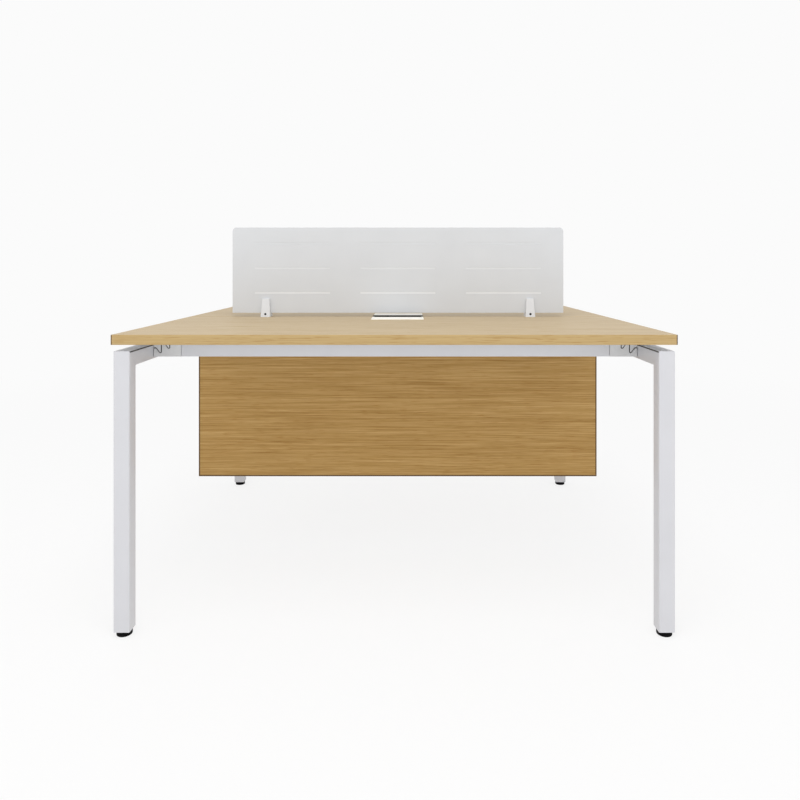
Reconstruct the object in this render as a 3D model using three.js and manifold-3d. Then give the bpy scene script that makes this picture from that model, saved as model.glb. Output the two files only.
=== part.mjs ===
// A benching desk for two people who sit face to face.
//
// Two laminated worktops meet along a seam and lie on a steel frame: two portal side frames, joined by two
// beams that hook into saddles on the side rails. A screen is clamped over the seam, a modesty panel hangs
// under it, each worktop has a flip-top cable outlet, and each leg stands on a levelling foot.
// Millimetres, +X to the right of the front user, +Y towards the rear user, +Z up. The origin is on the
// floor, under the middle of the desk.
import * as THREE from "three";
import { mergeVertices } from "three/addons/utils/BufferGeometryUtils.js";
import Module from "manifold-3d";

const wasm = await Module();
wasm.setup();

// Overall size, to the worktops' outer edges and upper faces
const DESK_WIDTH = 1400;
const DESK_DEPTH = 1200;
const DESK_HEIGHT = 750;

// Clearance between pieces that lie against each other or run in each other
const FIT = 0.3;
// Extra length of a cutting tool, past the piece that it cuts
const OVERCUT = 2;

// Worktops: a board with a plastic edging all round
const WORKTOP_THICKNESS = 25;
const WORKTOP_CORNER = 3;
const EDGING_THICKNESS = 2;
const SEAM_GAP = 1;

// Side frames: square tube, mitred at the top corners
const TUBE = 40;
const TUBE_WALL = 2;
const TUBE_CORNER = 3;
const SIDE_OVERHANG = 5;
const END_OVERHANG = 5;
const MITRE_GAP = 0.3;

// Packers that hold the worktops above the side rails
const FLOAT_GAP = 16;
const PACKER_WIDTH = 36;
const PACKER_LENGTH = 60;
const PACKER_SETBACK = 200;
const PACKER_BOLT_HOLE = 7;

// Levelling feet: a pad on a threaded stem, in an insert in the foot of the leg
const PAD_DIAMETER = 38;
const PAD_HEIGHT = 12.7;
const PAD_ROUNDING = 2.5;
const STEM_DIAMETER = 8;
const STEM_LENGTH = 52;
const STEM_SEAT = 7;
const INSERT_HEIGHT = 30;

// Beams under the worktops
const BEAM_HEIGHT = 50;
const BEAM_DEPTH = 25;
const BEAM_WALL = 2;
const BEAM_CORNER = 2.5;
const BEAM_SETBACK = 160;

// Saddles and hooks that join the beams to the side rails
const SADDLE_LENGTH = 75;
const SADDLE_PLATE = 3;
const SADDLE_FLOOR = 4;
const SADDLE_FLANGE = 4;
const SADDLE_REBATE = 1.3;
const FINGER_HEIGHT = 22.5;
const FINGER_RADIUS = 4.5;
const NOTCH_HEIGHT = 9.2;
const NOTCH_RADIUS = 4;
const TOOTH_PITCH = 22.7;
const TOOTH_RISE = 11.8;
const TOOTH_COUNT = 2;
const TOOTH_GAP = 2.4;
const HOOK_RELIEF = 0.6;
const TONGUE_LENGTH = 45;
const BEAM_END_GAP = 1.2;

// Modesty panel, set back from the seam, and the angle brackets behind it, set in from the panel's ends
const PANEL_HEIGHT = 494;
const PANEL_THICKNESS = 18;
const PANEL_END_GAP = 3;
const PANEL_SETBACK = 40;
const BRACKET_LEG = 32;
const BRACKET_LENGTH = 50;
const BRACKET_THICKNESS = 3;
const BRACKET_OUTER = 82;
const BRACKET_INNER = 422;

// Screen over the seam, with a pattern of shallow grooves on both faces
const SCREEN_WIDTH = 1110;
const SCREEN_HEIGHT = 286;
const SCREEN_THICKNESS = 12;
const SCREEN_CORNER = 13;
const SCREEN_LIFT = 13;
const GROOVE_COLUMNS = 3;
const GROOVE_ROWS = 3;
const GROOVE_MARGIN = 75;
const GROOVE_SPACING = 102;
const GROOVE_TOP = 54;
const GROOVE_PITCH = 82.5;
const GROOVE_WIDTH = 6;
const GROOVE_DEPTH = 1;

// Screen clamps: a body with the rear jaw, a loose front jaw, a cross bolt and an anchor screw
const CLAMP_INSET = 113;
const CLAMP_HEIGHT = 61;
const CLAMP_WIDTH_BOTTOM = 31.5;
const CLAMP_WIDTH_TOP = 23.5;
const JAW_THICKNESS_BOTTOM = 15.7;
const JAW_THICKNESS_TOP = 5.7;
const CLAMP_BOLT_HEIGHT = 9.4;
const CLAMP_BOLT_DIAMETER = 4;
const CLAMP_BOLT_HEAD = 7;
const CLAMP_BOLT_HEAD_LENGTH = 4;
const CLAMP_BOLT_RECESS = 1.2;
const CLAMP_BOLT_GRIP = 9;
const ANCHOR_DIAMETER = 6;
const ANCHOR_HEAD = 14;
const ANCHOR_HEAD_HEIGHT = 4;
const ANCHOR_GRIP = 16;

// Cable outlets: a frame let into the worktop, a hinged lid and a brush strip
const OUTLET_WIDTH = 168;
const OUTLET_DEPTH = 120;
const OUTLET_CORNER = 4;
const OUTLET_SETBACK = 12;
const OUTLET_FLANGE = 1.2;
const OUTLET_LIP = 4;
const OUTLET_WALL = 2;
const LID_THICKNESS = 3;
const LID_CLEARANCE = 0.5;
const LID_LEDGE = 3;
const SLOT_WIDTH = 14;
const BRUSH_BAR = 5.7;
const BRUSH_BAR_HEIGHT = 10;
const BRUSH_CAP = 1.2;
const HINGE_BARREL = 7.4;
const HINGE_PIN = 3.5;
const HINGE_INSET = 4;
const FINGER_NOTCH_WIDTH = 28;
const FINGER_NOTCH_DEPTH = 10;

// Line segments per half of an arc on small corners, and on full circles
const CORNER_STEPS = 2;
const ROUND_STEPS = 12;

// Finishes
const laminate = { color: 0xc3a572, roughness: 0.45, metalness: 0 };
const edging = { color: 0xbf9d68, roughness: 0.5, metalness: 0 };
const greyPaint = { color: 0xd4d5d8, roughness: 0.45, metalness: 0.1 };
const castGrey = { color: 0xc8c9cb, roughness: 0.5, metalness: 0.3 };
const screenBoard = { color: 0xd9d9d9, roughness: 0.6, metalness: 0 };
const whitePaint = { color: 0xf4f2ec, roughness: 0.35, metalness: 0 };
const blackPlastic = { color: 0x17181a, roughness: 0.6, metalness: 0 };
const zincSteel = { color: 0xa9abae, roughness: 0.35, metalness: 1 };
const blackSteel = { color: 0x222326, roughness: 0.4, metalness: 0.8 };

// Levels and lines that pieces share
const underside = DESK_HEIGHT - WORKTOP_THICKNESS;
const worktopDepth = (DESK_DEPTH - SEAM_GAP) / 2;
const worktopMiddle = -(SEAM_GAP + worktopDepth) / 2;
const railTop = underside - FLOAT_GAP;
const legX = DESK_WIDTH / 2 - SIDE_OVERHANG - TUBE / 2;
const legY = DESK_DEPTH / 2 - END_OVERHANG - TUBE / 2;
const frameInnerX = legX - TUBE / 2;
const legFoot = PAD_HEIGHT + FIT;
const tubeBore = TUBE - 2 * TUBE_WALL;
const tubeBoreCorner = Math.max(TUBE_CORNER - TUBE_WALL, FIT);
const beamTop = underside - FIT;
const beamMiddleY = -(DESK_DEPTH / 2 - BEAM_SETBACK - BEAM_DEPTH / 2);
const beamBore = [BEAM_DEPTH - 2 * BEAM_WALL, BEAM_HEIGHT - 2 * BEAM_WALL];
const clampX = SCREEN_WIDTH / 2 - CLAMP_INSET;
const jawFace = SCREEN_THICKNESS / 2 + FIT;
const anchorY = jawFace + JAW_THICKNESS_BOTTOM / 2;

// How an outline's own x, y and depth lie in the desk, for a prism along each axis
const AXIS_X = new THREE.Vector3(1, 0, 0);
const AXIS_Y = new THREE.Vector3(0, 1, 0);
const AXIS_Z = new THREE.Vector3(0, 0, 1);
const PLACING = {
  x: new THREE.Matrix4().makeBasis(AXIS_Y, AXIS_Z, AXIS_X),
  y: new THREE.Matrix4().makeBasis(AXIS_X, AXIS_Z, AXIS_Y.clone().negate()),
  z: new THREE.Matrix4(),
};

// A three.js geometry as a closed solid that can be cut and joined
function solid(geometry) {
  geometry.deleteAttribute("normal");
  geometry.deleteAttribute("uv");
  const merged = mergeVertices(geometry);
  const vertProperties = new Float32Array(merged.attributes.position.array);
  const triVerts = new Uint32Array(merged.index.array);
  return new wasm.Manifold(new wasm.Mesh({ numProp: 3, vertProperties, triVerts }));
}

// A finished sub-part: a solid with its name and finish
function piece(name, body, finish) {
  const { vertProperties, triVerts } = body.getMesh();
  const geometry = new THREE.BufferGeometry();
  geometry.setAttribute("position", new THREE.BufferAttribute(vertProperties, 3));
  geometry.setIndex(new THREE.BufferAttribute(triVerts, 1));
  const mesh = new THREE.Mesh(geometry, new THREE.MeshStandardMaterial({ ...finish, flatShading: true }));
  mesh.name = name;
  return mesh;
}

// A solid with one outline all the way along an axis. The outline is in YZ along x, XZ along y, XY along z.
function prism(outline, along, from, to, curveSegments = CORNER_STEPS) {
  const geometry = new THREE.ExtrudeGeometry(outline, { depth: to - from, bevelEnabled: false, curveSegments });
  geometry.applyMatrix4(PLACING[along]);
  const shift = { x: [from, 0, 0], y: [0, to, 0], z: [0, 0, from] }[along];
  geometry.translate(...shift);
  return solid(geometry);
}

// A block between its lowest and highest corners
function block(low, high) {
  const size = high.map((value, i) => value - low[i]);
  const geometry = new THREE.BoxGeometry(...size);
  geometry.translate(...low.map((value, i) => value + size[i] / 2));
  return solid(geometry);
}

// A round bar along an axis, through the point (u, v) of the plane that it crosses
function rod(diameter, along, from, to, u = 0, v = 0) {
  const circle = new THREE.Shape();
  circle.absarc(u, v, diameter / 2, 0, 2 * Math.PI);
  return prism(circle, along, from, to, ROUND_STEPS);
}

function polygon(...points) {
  return new THREE.Shape(points.map(([x, y]) => new THREE.Vector2(x, y)));
}

// A rectangle with round corners about (u, v)
function roundedRectangle(width, height, radius, u = 0, v = 0) {
  const x = width / 2 - radius;
  const y = height / 2 - radius;
  const outline = new THREE.Shape();
  outline.absarc(u + x, v + y, radius, 0, Math.PI / 2);
  outline.absarc(u - x, v + y, radius, Math.PI / 2, Math.PI);
  outline.absarc(u - x, v - y, radius, Math.PI, 1.5 * Math.PI);
  outline.absarc(u + x, v - y, radius, 1.5 * Math.PI, 2 * Math.PI);
  return outline;
}

// The worktop's board, with the cut-out for its cable outlet and holes for screws that pass through it
function worktopBoard(screwHoles) {
  const inner = 2 * EDGING_THICKNESS;
  const corner = Math.max(WORKTOP_CORNER - EDGING_THICKNESS, FIT);
  const outline = roundedRectangle(DESK_WIDTH - inner, worktopDepth - inner, corner, 0, worktopMiddle);
  const cutWidth = OUTLET_WIDTH - 2 * OUTLET_LIP + 2 * FIT;
  const cutDepth = OUTLET_DEPTH - 2 * OUTLET_LIP + 2 * FIT;
  const board = prism(outline, "z", underside, DESK_HEIGHT);
  const cutOut = roundedRectangle(cutWidth, cutDepth, OUTLET_WALL, 0, outletMiddle);
  const low = underside - OVERCUT;
  const high = DESK_HEIGHT + OVERCUT;
  const opened = board.subtract(prism(cutOut, "z", low, high));
  return screwHoles.reduce((rest, [x, y, diameter]) => rest.subtract(rod(diameter, "z", low, high, x, y)), opened);
}

// The edging all round a worktop's board
function worktopEdging() {
  const inner = 2 * EDGING_THICKNESS;
  const corner = Math.max(WORKTOP_CORNER - EDGING_THICKNESS, FIT);
  const outline = roundedRectangle(DESK_WIDTH, worktopDepth, WORKTOP_CORNER, 0, worktopMiddle);
  outline.holes.push(roundedRectangle(DESK_WIDTH - inner, worktopDepth - inner, corner, 0, worktopMiddle));
  return prism(outline, "z", underside, DESK_HEIGHT);
}

// A wedge that cuts a mitre: everything above, or below, a line that falls at 45 degrees from (y, z)
function mitreCut(y, z, above) {
  const reach = 2 * TUBE;
  const shift = (above ? -1 : 1) * MITRE_GAP * Math.SQRT1_2;
  const start = [y - reach, z + reach + shift];
  const end = [y + reach, z - reach + shift];
  const corner = above ? [y + reach, z + reach + shift] : [y - reach, z - reach + shift];
  const outline = above ? polygon(start, end, corner) : polygon(start, corner, end);
  return prism(outline, "x", -TUBE, TUBE);
}

// A leg about its own axis: hollow square tube, mitred towards the rail behind it
function leg() {
  const tube = prism(roundedRectangle(TUBE, TUBE, TUBE_CORNER), "z", legFoot, railTop);
  const bore = roundedRectangle(tubeBore, tubeBore, tubeBoreCorner);
  return tube
    .subtract(prism(bore, "z", legFoot - OVERCUT, railTop + OVERCUT))
    .subtract(mitreCut(-TUBE / 2, railTop, true));
}

// A side rail along Y, with its own middle at x 0: hollow square tube, mitred onto both legs
function topRail() {
  const end = legY + TUBE / 2;
  const middleZ = railTop - TUBE / 2;
  const tube = prism(roundedRectangle(TUBE, TUBE, TUBE_CORNER, 0, middleZ), "y", -end, end);
  const bore = roundedRectangle(tubeBore, tubeBore, tubeBoreCorner, 0, middleZ);
  const hollow = tube.subtract(prism(bore, "y", -end - OVERCUT, end + OVERCUT));
  const frontCut = mitreCut(-end, railTop, false);
  const rearCut = solid(halfTurned(frontCut));
  return hollow.subtract(frontCut).subtract(rearCut);
}

// A solid's geometry, turned half round about the Z axis
function halfTurned(body) {
  const { vertProperties, triVerts } = body.getMesh();
  const geometry = new THREE.BufferGeometry();
  geometry.setAttribute("position", new THREE.BufferAttribute(vertProperties, 3));
  geometry.setIndex(new THREE.BufferAttribute(triVerts, 1));
  return geometry.rotateZ(Math.PI);
}

// A packer block about its own middle, with a hole for the worktop's screw
function packer() {
  const outline = roundedRectangle(PACKER_WIDTH, PACKER_LENGTH, TUBE_CORNER);
  const low = railTop + FIT;
  const high = underside - FIT;
  const hole = rod(PACKER_BOLT_HOLE, "z", low - OVERCUT, high + OVERCUT);
  return prism(outline, "z", low, high).subtract(hole);
}

// The insert in the foot of a leg, bored for the stem
function legInsert() {
  const side = tubeBore - 2 * FIT;
  const top = legFoot + INSERT_HEIGHT;
  const plug = prism(roundedRectangle(side, side, tubeBoreCorner), "z", legFoot, top);
  return plug.subtract(rod(STEM_DIAMETER + 2 * FIT, "z", legFoot - OVERCUT, top + OVERCUT));
}

// The foot's round pad, turned, with a blind seat for the stem
function footPad() {
  const radius = PAD_DIAMETER / 2;
  const profile = new THREE.Path();
  profile.moveTo(0, 0);
  profile.lineTo(radius - PAD_ROUNDING, 0);
  profile.absarc(radius - PAD_ROUNDING, PAD_ROUNDING, PAD_ROUNDING, -Math.PI / 2, 0);
  profile.lineTo(radius, PAD_HEIGHT);
  profile.lineTo(0, PAD_HEIGHT);
  const geometry = new THREE.LatheGeometry(profile.getPoints(CORNER_STEPS), 2 * ROUND_STEPS);
  geometry.applyMatrix4(new THREE.Matrix4().makeRotationX(Math.PI / 2));
  const seat = rod(STEM_DIAMETER + 2 * FIT, "z", PAD_HEIGHT - STEM_SEAT, PAD_HEIGHT + OVERCUT);
  return solid(geometry).subtract(seat);
}

function footStem() {
  const low = PAD_HEIGHT - STEM_SEAT + FIT;
  return rod(STEM_DIAMETER, "z", low, low + STEM_LENGTH);
}

// A beam along X, from saddle to saddle
function beam() {
  const half = frameInnerX - SADDLE_LENGTH - BEAM_END_GAP;
  const middleZ = beamTop - BEAM_HEIGHT / 2;
  const outer = roundedRectangle(BEAM_DEPTH, BEAM_HEIGHT, BEAM_CORNER, beamMiddleY, middleZ);
  const corner = Math.max(BEAM_CORNER - BEAM_WALL, FIT);
  const bore = roundedRectangle(...beamBore, corner, beamMiddleY, middleZ);
  return prism(outer, "x", -half, half).subtract(prism(bore, "x", -half - OVERCUT, half + OVERCUT));
}

// The stepped line of fingers and notches between a saddle and its hook, drawn onto an outline from the
// saddle's first finger to its last, and set off by a distance towards the hook. u runs from the rail's
// inner face, v up from the beam's lower face. Each finger top and notch floor is an arc, and a straight
// flank touches both.
function drawTeeth(outline, offset) {
  const finger = FINGER_RADIUS + offset;
  const notch = NOTCH_RADIUS - offset;
  const across = TOOTH_PITCH - NOTCH_RADIUS - FINGER_RADIUS;
  const down = NOTCH_HEIGHT + NOTCH_RADIUS - (FINGER_HEIGHT - FINGER_RADIUS);
  const reach = Math.hypot(across, down);
  const flank = Math.atan2(down, across) + Math.acos((FINGER_RADIUS + NOTCH_RADIUS) / reach);
  for (let i = 0; i < TOOTH_COUNT; i += 1) {
    const fingerU = FIT + i * TOOTH_PITCH + FINGER_RADIUS;
    const fingerV = FINGER_HEIGHT + i * TOOTH_RISE - FINGER_RADIUS;
    outline.absarc(fingerU, fingerV, finger, i === 0 && offset > 0 ? Math.PI / 2 : Math.PI, flank, true);
    outline.absarc(fingerU + across, fingerV + down, notch, flank + Math.PI, 2 * Math.PI);
  }
}

// Where the last notch ends and the saddle's plates reach their full height
const teethEnd = FIT + TOOTH_COUNT * TOOTH_PITCH;

// A saddle on the rail's inner face: a channel whose two side plates are notched from above and stop short of
// the rail, which its flange alone lies against
function saddle() {
  const outline = new THREE.Shape();
  outline.moveTo(SADDLE_LENGTH, 0);
  outline.lineTo(SADDLE_LENGTH, BEAM_HEIGHT);
  outline.lineTo(teethEnd, BEAM_HEIGHT);
  const steps = new THREE.Path();
  drawTeeth(steps, 0);
  const points = steps.getPoints(2 * CORNER_STEPS).reverse();
  points.forEach((point) => outline.lineTo(point.x, point.y));
  outline.lineTo(FIT, 0);
  const half = BEAM_DEPTH / 2;
  const channel = block(
    [FIT + SADDLE_FLANGE, SADDLE_PLATE - half, SADDLE_FLOOR],
    [SADDLE_LENGTH + OVERCUT, half - SADDLE_PLATE, BEAM_HEIGHT + OVERCUT],
  );
  const rebates = [-1, 1].map((side) => {
    const ends = [side * (half - SADDLE_PLATE), side * (half + OVERCUT)].sort((a, b) => a - b);
    return block([-OVERCUT, ends[0], -OVERCUT], [FIT + SADDLE_REBATE, ends[1], BEAM_HEIGHT]);
  });
  return prism(outline, "y", -half, half).subtract(channel).subtract(rebates[0]).subtract(rebates[1]);
}

// A hook on the beam's end: teeth that drop into the saddle's notches, a core between its side plates and a
// tongue in the beam's bore
function hook() {
  const outline = new THREE.Shape();
  const steps = new THREE.Path();
  drawTeeth(steps, TOOTH_GAP);
  const points = steps.getPoints(2 * CORNER_STEPS);
  outline.moveTo(HOOK_RELIEF, points[0].y);
  points.forEach((point) => outline.lineTo(point.x, point.y));
  outline.lineTo(teethEnd - TOOTH_GAP, BEAM_HEIGHT);
  outline.lineTo(HOOK_RELIEF, BEAM_HEIGHT);
  const half = BEAM_DEPTH / 2;
  const coreY = half - SADDLE_PLATE - FIT;
  const coreLow = SADDLE_FLOOR + FIT;
  const beamEnd = SADDLE_LENGTH + BEAM_END_GAP;
  const core = block([FIT + SADDLE_FLANGE + FIT, -coreY, coreLow], [beamEnd, coreY, BEAM_HEIGHT]);
  const [boreDepth, boreHeight] = beamBore.map((size) => size - 2 * FIT);
  const corner = Math.max(BEAM_CORNER - BEAM_WALL, FIT);
  const tongueOutline = roundedRectangle(boreDepth, boreHeight, corner, 0, BEAM_HEIGHT / 2);
  const tongue = prism(tongueOutline, "x", beamEnd, beamEnd + TONGUE_LENGTH);
  const neckY = Math.min(coreY, boreDepth / 2 - corner);
  const neckTop = (BEAM_HEIGHT + boreHeight) / 2 - corner;
  const neck = block([beamEnd - OVERCUT, -neckY, coreLow], [beamEnd + OVERCUT, neckY, neckTop]);
  return prism(outline, "y", -half, half).add(core).add(tongue).add(neck);
}

const outletMiddle = -(OUTLET_SETBACK + OUTLET_DEPTH / 2);
const outletBore = [OUTLET_WIDTH, OUTLET_DEPTH].map((size) => size - 2 * OUTLET_LIP - 2 * OUTLET_WALL);
const outletTop = DESK_HEIGHT + OUTLET_FLANGE;
const lidLow = outletTop - LID_THICKNESS;
const lidFree = outletMiddle - outletBore[1] / 2 + LID_CLEARANCE;
const brushFace = outletMiddle + outletBore[1] / 2 - FIT - BRUSH_BAR;
const lidInner = brushFace - SLOT_WIDTH;
const hingeY = lidInner - HINGE_INSET;
const hingeZ = lidLow - HINGE_BARREL / 2;

// The outlet's frame: a flange on the worktop, walls through it, a ledge for the lid and holes for its pin
function outletFrame() {
  const [boreWidth, boreDepth] = outletBore;
  const flange = roundedRectangle(OUTLET_WIDTH, OUTLET_DEPTH, OUTLET_CORNER, 0, outletMiddle);
  const wallCorner = Math.max(OUTLET_WALL, FIT);
  const wallWidth = boreWidth + 2 * OUTLET_WALL;
  const wall = roundedRectangle(wallWidth, boreDepth + 2 * OUTLET_WALL, wallCorner, 0, outletMiddle);
  const bore = block(
    [-boreWidth / 2, outletMiddle - boreDepth / 2, underside - OVERCUT],
    [boreWidth / 2, outletMiddle + boreDepth / 2, outletTop + OVERCUT],
  );
  const wallFront = outletMiddle - boreDepth / 2;
  const ledgeTop = lidLow - FIT;
  const ledges = [-1, 1].map((side) => {
    const ends = [side * (boreWidth + OUTLET_WALL) / 2, side * FINGER_NOTCH_WIDTH / 2].sort((a, b) => a - b);
    const low = [ends[0], wallFront - OUTLET_WALL / 2, ledgeTop - LID_LEDGE];
    return block(low, [ends[1], wallFront + LID_LEDGE, ledgeTop]);
  });
  const pinHole = rod(HINGE_PIN + 2 * FIT, "x", -OUTLET_WIDTH, OUTLET_WIDTH, hingeY, hingeZ);
  return prism(flange, "z", DESK_HEIGHT, outletTop)
    .add(prism(wall, "z", underside, outletTop))
    .subtract(bore)
    .add(ledges[0])
    .add(ledges[1])
    .subtract(pinHole);
}

// The outlet's lid: a plate with a finger notch in its free edge and a barrel under its hinged edge
function outletLid() {
  const half = outletBore[0] / 2 - LID_CLEARANCE;
  const plate = block([-half, lidFree, lidLow], [half, lidInner, outletTop]);
  const barrel = rod(HINGE_BARREL, "x", -half, half, hingeY, hingeZ);
  const web = block([-half, hingeY - HINGE_PIN, hingeZ], [half, hingeY + HINGE_PIN, lidLow + FIT]);
  const pinHole = rod(HINGE_PIN + 2 * FIT, "x", -half - OVERCUT, half + OVERCUT, hingeY, hingeZ);
  const halfWidth = FINGER_NOTCH_WIDTH / 2;
  const notchRadius = (halfWidth ** 2 + FINGER_NOTCH_DEPTH ** 2) / (2 * FINGER_NOTCH_DEPTH);
  const notchY = lidFree + FINGER_NOTCH_DEPTH - notchRadius;
  const notch = rod(2 * notchRadius, "z", lidLow - OVERCUT, outletTop + OVERCUT, 0, notchY);
  return plate.add(barrel).add(web).subtract(pinHole).subtract(notch);
}

function outletPin() {
  const half = outletBore[0] / 2 + OUTLET_WALL - FIT;
  return rod(HINGE_PIN, "x", -half, half, hingeY, hingeZ);
}

// The bar that holds the brush, on the outlet's wall nearest the seam, with a cap over the flange there
function outletBrush() {
  const half = outletBore[0] / 2 - FIT;
  const capLow = outletTop + FIT;
  const capHigh = capLow + BRUSH_CAP;
  const capHalf = OUTLET_WIDTH / 2;
  const bar = block([-half, brushFace, outletTop - BRUSH_BAR_HEIGHT], [half, brushFace + BRUSH_BAR, capHigh]);
  return bar.add(block([-capHalf, brushFace, capLow], [capHalf, -OUTLET_SETBACK, capHigh]));
}

// The screen: a board with round upper corners and grooves in columns and rows on both faces
function screenBoardBody() {
  const low = DESK_HEIGHT + SCREEN_LIFT;
  const high = low + SCREEN_HEIGHT;
  const half = SCREEN_WIDTH / 2;
  const outline = new THREE.Shape();
  outline.moveTo(-half, low);
  outline.lineTo(half, low);
  outline.absarc(half - SCREEN_CORNER, high - SCREEN_CORNER, SCREEN_CORNER, 0, Math.PI / 2);
  outline.absarc(SCREEN_CORNER - half, high - SCREEN_CORNER, SCREEN_CORNER, Math.PI / 2, Math.PI);
  const face = SCREEN_THICKNESS / 2;
  let board = prism(outline, "y", -face, face, 2 * CORNER_STEPS);
  const spaces = 2 * GROOVE_MARGIN + (GROOVE_COLUMNS - 1) * GROOVE_SPACING;
  const length = (SCREEN_WIDTH - spaces) / GROOVE_COLUMNS;
  for (let column = 0; column < GROOVE_COLUMNS; column += 1) {
    const x = GROOVE_MARGIN - half + column * (length + GROOVE_SPACING);
    for (let row = 0; row < GROOVE_ROWS; row += 1) {
      const z = high - GROOVE_TOP - row * GROOVE_PITCH - GROOVE_WIDTH / 2;
      const front = block([x, -face - OVERCUT, z], [x + length, GROOVE_DEPTH - face, z + GROOVE_WIDTH]);
      const rear = block([x, face - GROOVE_DEPTH, z], [x + length, face + OVERCUT, z + GROOVE_WIDTH]);
      board = board.subtract(front).subtract(rear);
    }
  }
  return board;
}

// A jaw's taper, seen from the front
function clampTaper() {
  const bottom = CLAMP_WIDTH_BOTTOM / 2;
  const top = CLAMP_WIDTH_TOP / 2;
  const outline = polygon([-bottom, 0], [bottom, 0], [top, CLAMP_HEIGHT], [-top, CLAMP_HEIGHT]);
  const reach = jawFace + JAW_THICKNESS_BOTTOM + OVERCUT;
  return prism(outline, "y", -reach, reach);
}

// The hole for the clamp's cross bolt
function clampBoltHole(from, to) {
  return rod(CLAMP_BOLT_DIAMETER + 2 * FIT, "y", from, to, 0, CLAMP_BOLT_HEIGHT);
}

const clampBoltEnd = CLAMP_BOLT_GRIP - jawFace;

// The clamp's body, about the clamp's foot: the rear jaw and the seat that the screen stands on
function clampBody() {
  const seat = SCREEN_LIFT - FIT;
  const outline = polygon(
    [FIT - jawFace, 0],
    [jawFace + JAW_THICKNESS_BOTTOM, 0],
    [jawFace + JAW_THICKNESS_TOP, CLAMP_HEIGHT],
    [jawFace, CLAMP_HEIGHT],
    [jawFace, seat],
    [FIT - jawFace, seat],
  );
  const half = CLAMP_WIDTH_BOTTOM / 2;
  const anchorHole = rod(ANCHOR_DIAMETER + 2 * FIT, "z", -OVERCUT, ANCHOR_GRIP + FIT, 0, anchorY);
  return prism(outline, "x", -half, half)
    .intersect(clampTaper())
    .subtract(clampBoltHole(-jawFace - OVERCUT, clampBoltEnd + FIT))
    .subtract(anchorHole);
}

// The level of the jaw's sloping outer face at the bolt
const boltFace = jawFace + JAW_THICKNESS_BOTTOM
  - (JAW_THICKNESS_BOTTOM - JAW_THICKNESS_TOP) * (CLAMP_BOLT_HEIGHT / CLAMP_HEIGHT);
const boltHeadOuter = CLAMP_BOLT_RECESS - boltFace;
const boltHeadInner = boltHeadOuter + CLAMP_BOLT_HEAD_LENGTH;

// The loose front jaw, with a recess for the bolt's head
function clampJaw() {
  const outline = polygon(
    [-jawFace - JAW_THICKNESS_BOTTOM, 0],
    [-jawFace, 0],
    [-jawFace, CLAMP_HEIGHT],
    [-jawFace - JAW_THICKNESS_TOP, CLAMP_HEIGHT],
  );
  const half = CLAMP_WIDTH_BOTTOM / 2;
  const reach = -jawFace - JAW_THICKNESS_BOTTOM - OVERCUT;
  const recess = rod(CLAMP_BOLT_HEAD + 2 * FIT, "y", reach, boltHeadInner + FIT, 0, CLAMP_BOLT_HEIGHT);
  return prism(outline, "x", -half, half)
    .intersect(clampTaper())
    .subtract(recess)
    .subtract(clampBoltHole(reach, OVERCUT - jawFace));
}

function clampBolt() {
  const head = rod(CLAMP_BOLT_HEAD, "y", boltHeadOuter, boltHeadInner, 0, CLAMP_BOLT_HEIGHT);
  return head.add(rod(CLAMP_BOLT_DIAMETER, "y", boltHeadOuter + OVERCUT, clampBoltEnd, 0, CLAMP_BOLT_HEIGHT));
}

// The screw that holds the clamp down, from under the rear worktop
function clampAnchor() {
  const headTop = -WORKTOP_THICKNESS - FIT;
  const head = rod(ANCHOR_HEAD, "z", headTop - ANCHOR_HEAD_HEIGHT, headTop, 0, anchorY);
  return head.add(rod(ANCHOR_DIAMETER, "z", headTop - OVERCUT, ANCHOR_GRIP, 0, anchorY));
}

const panelRear = -PANEL_SETBACK;
const panelEnd = frameInnerX - PANEL_END_GAP;

function modestyPanel() {
  const high = underside - FIT;
  return block([-panelEnd, panelRear - PANEL_THICKNESS, high - PANEL_HEIGHT], [panelEnd, panelRear, high]);
}

// An angle bracket behind the panel, under the front worktop, about its own middle
function modestyBracket() {
  const y = panelRear + FIT;
  const z = underside - FIT;
  const outline = polygon(
    [y, z],
    [y, z - BRACKET_LEG],
    [y + BRACKET_THICKNESS, z - BRACKET_LEG],
    [y + BRACKET_THICKNESS, z - BRACKET_THICKNESS],
    [y + BRACKET_LEG, z - BRACKET_THICKNESS],
    [y + BRACKET_LEG, z],
  );
  return prism(outline, "x", -BRACKET_LENGTH / 2, BRACKET_LENGTH / 2);
}

// Pieces moved together to a place
function placed(x, y, z, ...pieces) {
  const group = new THREE.Group();
  group.position.set(x, y, z);
  group.add(...pieces);
  return group;
}

// Pieces turned half round about the Z axis
function turned(half, ...pieces) {
  const group = new THREE.Group();
  group.rotation.z = half ? Math.PI : 0;
  group.add(...pieces);
  return group;
}

// One leg with its insert and levelling foot
function footedLeg(corner) {
  return [
    piece(`${corner}_leg`, leg(), greyPaint),
    piece(`${corner}_leg_insert`, legInsert(), blackPlastic),
    piece(`${corner}_foot_stem`, footStem(), zincSteel),
    piece(`${corner}_foot_pad`, footPad(), blackPlastic),
  ];
}

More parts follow.
